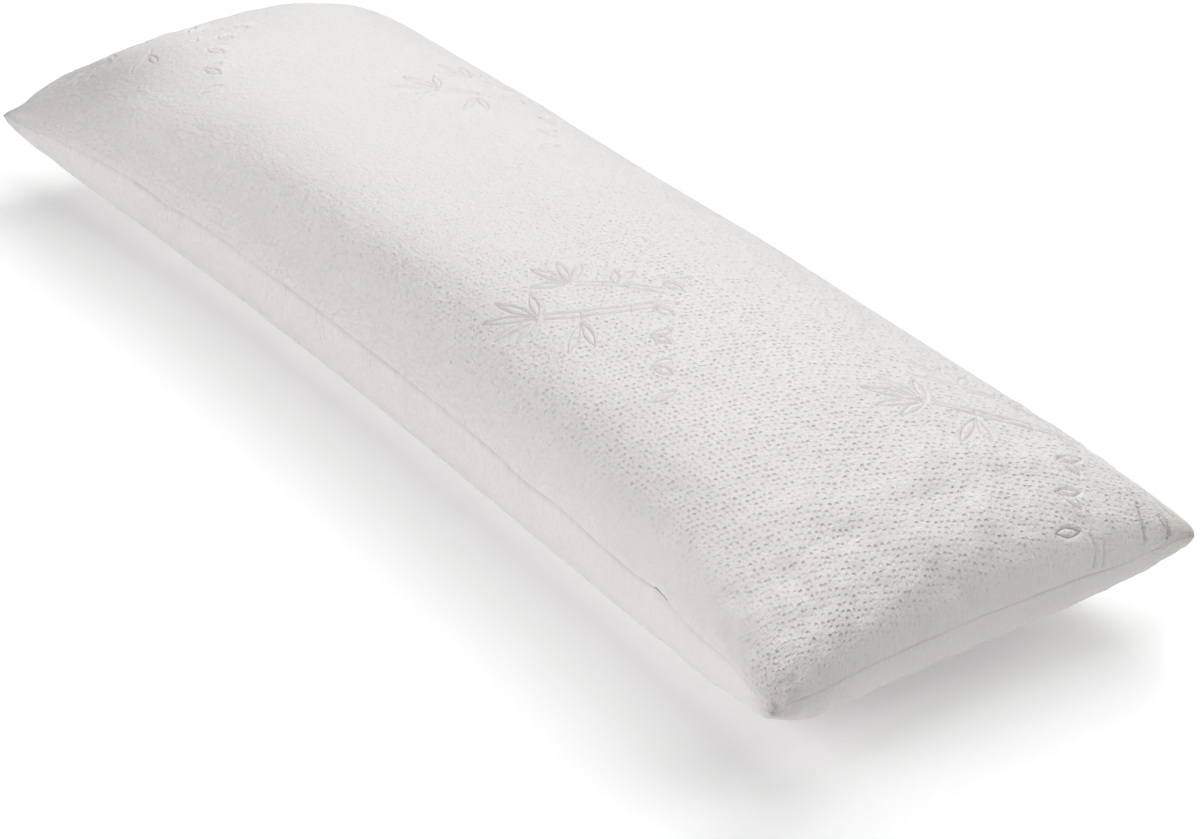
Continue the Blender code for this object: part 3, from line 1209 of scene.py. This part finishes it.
def buildStitches(path):
    line = bpy.data.meshes.new("stitchLine")
    outwards = path + [0, -stitches["out"], 0]
    line.from_pydata(outwards.tolist(), [(k, k + 1) for k in range(len(path) - 1)], [])
    guide = linkedObject("stitchLine", line)
    row = guide.modifiers.new("stitchRow", "NODES")
    row.node_group = stitchTree(threadMaterial())
    for item in row.node_group.interface.items_tree:
        if item.in_out == "INPUT" and item.name.lower() in stitches:
            row[item.identifier] = stitches[item.name.lower()]
    evaluated = guide.evaluated_get(bpy.context.evaluated_depsgraph_get())
    mesh = bpy.data.meshes.new_from_object(evaluated)
    mesh.name = "seamThread"
    for face in mesh.polygons:
        face.use_smooth = True
    bpy.data.objects.remove(guide)
    thread = linkedObject("seamThread", mesh)
    print("stitches:", len(mesh.polygons), "faces")
    return thread


thread = buildStitches(nick)
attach(thread, "root")

# Four soft lights, each aimed at the pillow's middle. The floor glows a little, which lifts
# the shadows on it as a white sweep does.
lights = [
    {"name": "backLeft", "place": (-1.6, 2.2, 2.9), "power": 83, "colour": "#fcfffd"},
    {"name": "backRight", "place": (2.0, 2.2, 2.6), "power": 41.5, "colour": "#fcfffd"},
    {"name": "overhead", "place": (0.1, 0.4, 3.6), "power": 42.5, "colour": "#fcfffd"},
    {"name": "frontLeft", "place": (0.3, -3.4, 1.9), "power": 71, "colour": "#ffffff"},
]
lightSize = 2.2
sweep = {"size": 40, "colour": "#f3f3f3", "glow": 0.195}


def addStage():
    bpy.ops.mesh.primitive_plane_add(size=sweep["size"])
    floor = bpy.context.object
    floor.name = "floor"
    material = bpy.data.materials.new("paleSweep")
    material.use_nodes = True
    shader = material.node_tree.nodes["Principled BSDF"]
    shader.inputs["Base Color"].default_value = linearColour(sweep["colour"])
    shader.inputs["Roughness"].default_value = 1
    shader.inputs["Specular IOR Level"].default_value = 0
    shader.inputs["Emission Color"].default_value = linearColour("#ffffff")
    shader.inputs["Emission Strength"].default_value = sweep["glow"]
    floor.data.materials.append(material)
    for lamp in lights:
        data = bpy.data.lights.new(lamp["name"], "AREA")
        data.shape = "SQUARE"
        data.size = lightSize
        data.energy = lamp["power"]
        data.color = linearColour(lamp["colour"])[:3]
        piece = linkedObject(lamp["name"], data)
        piece.location = lamp["place"]
        piece.rotation_euler = (-Vector(lamp["place"])).to_track_quat("-Z", "Y").to_euler()
    world = bpy.data.worlds.new("darkRoom")
    world.use_nodes = True
    world.node_tree.nodes["Background"].inputs["Strength"].default_value = 0
    bpy.context.scene.world = world
    bpy.context.scene.view_settings.view_transform = "Standard"
    print("stage and lights placed")


addStage()
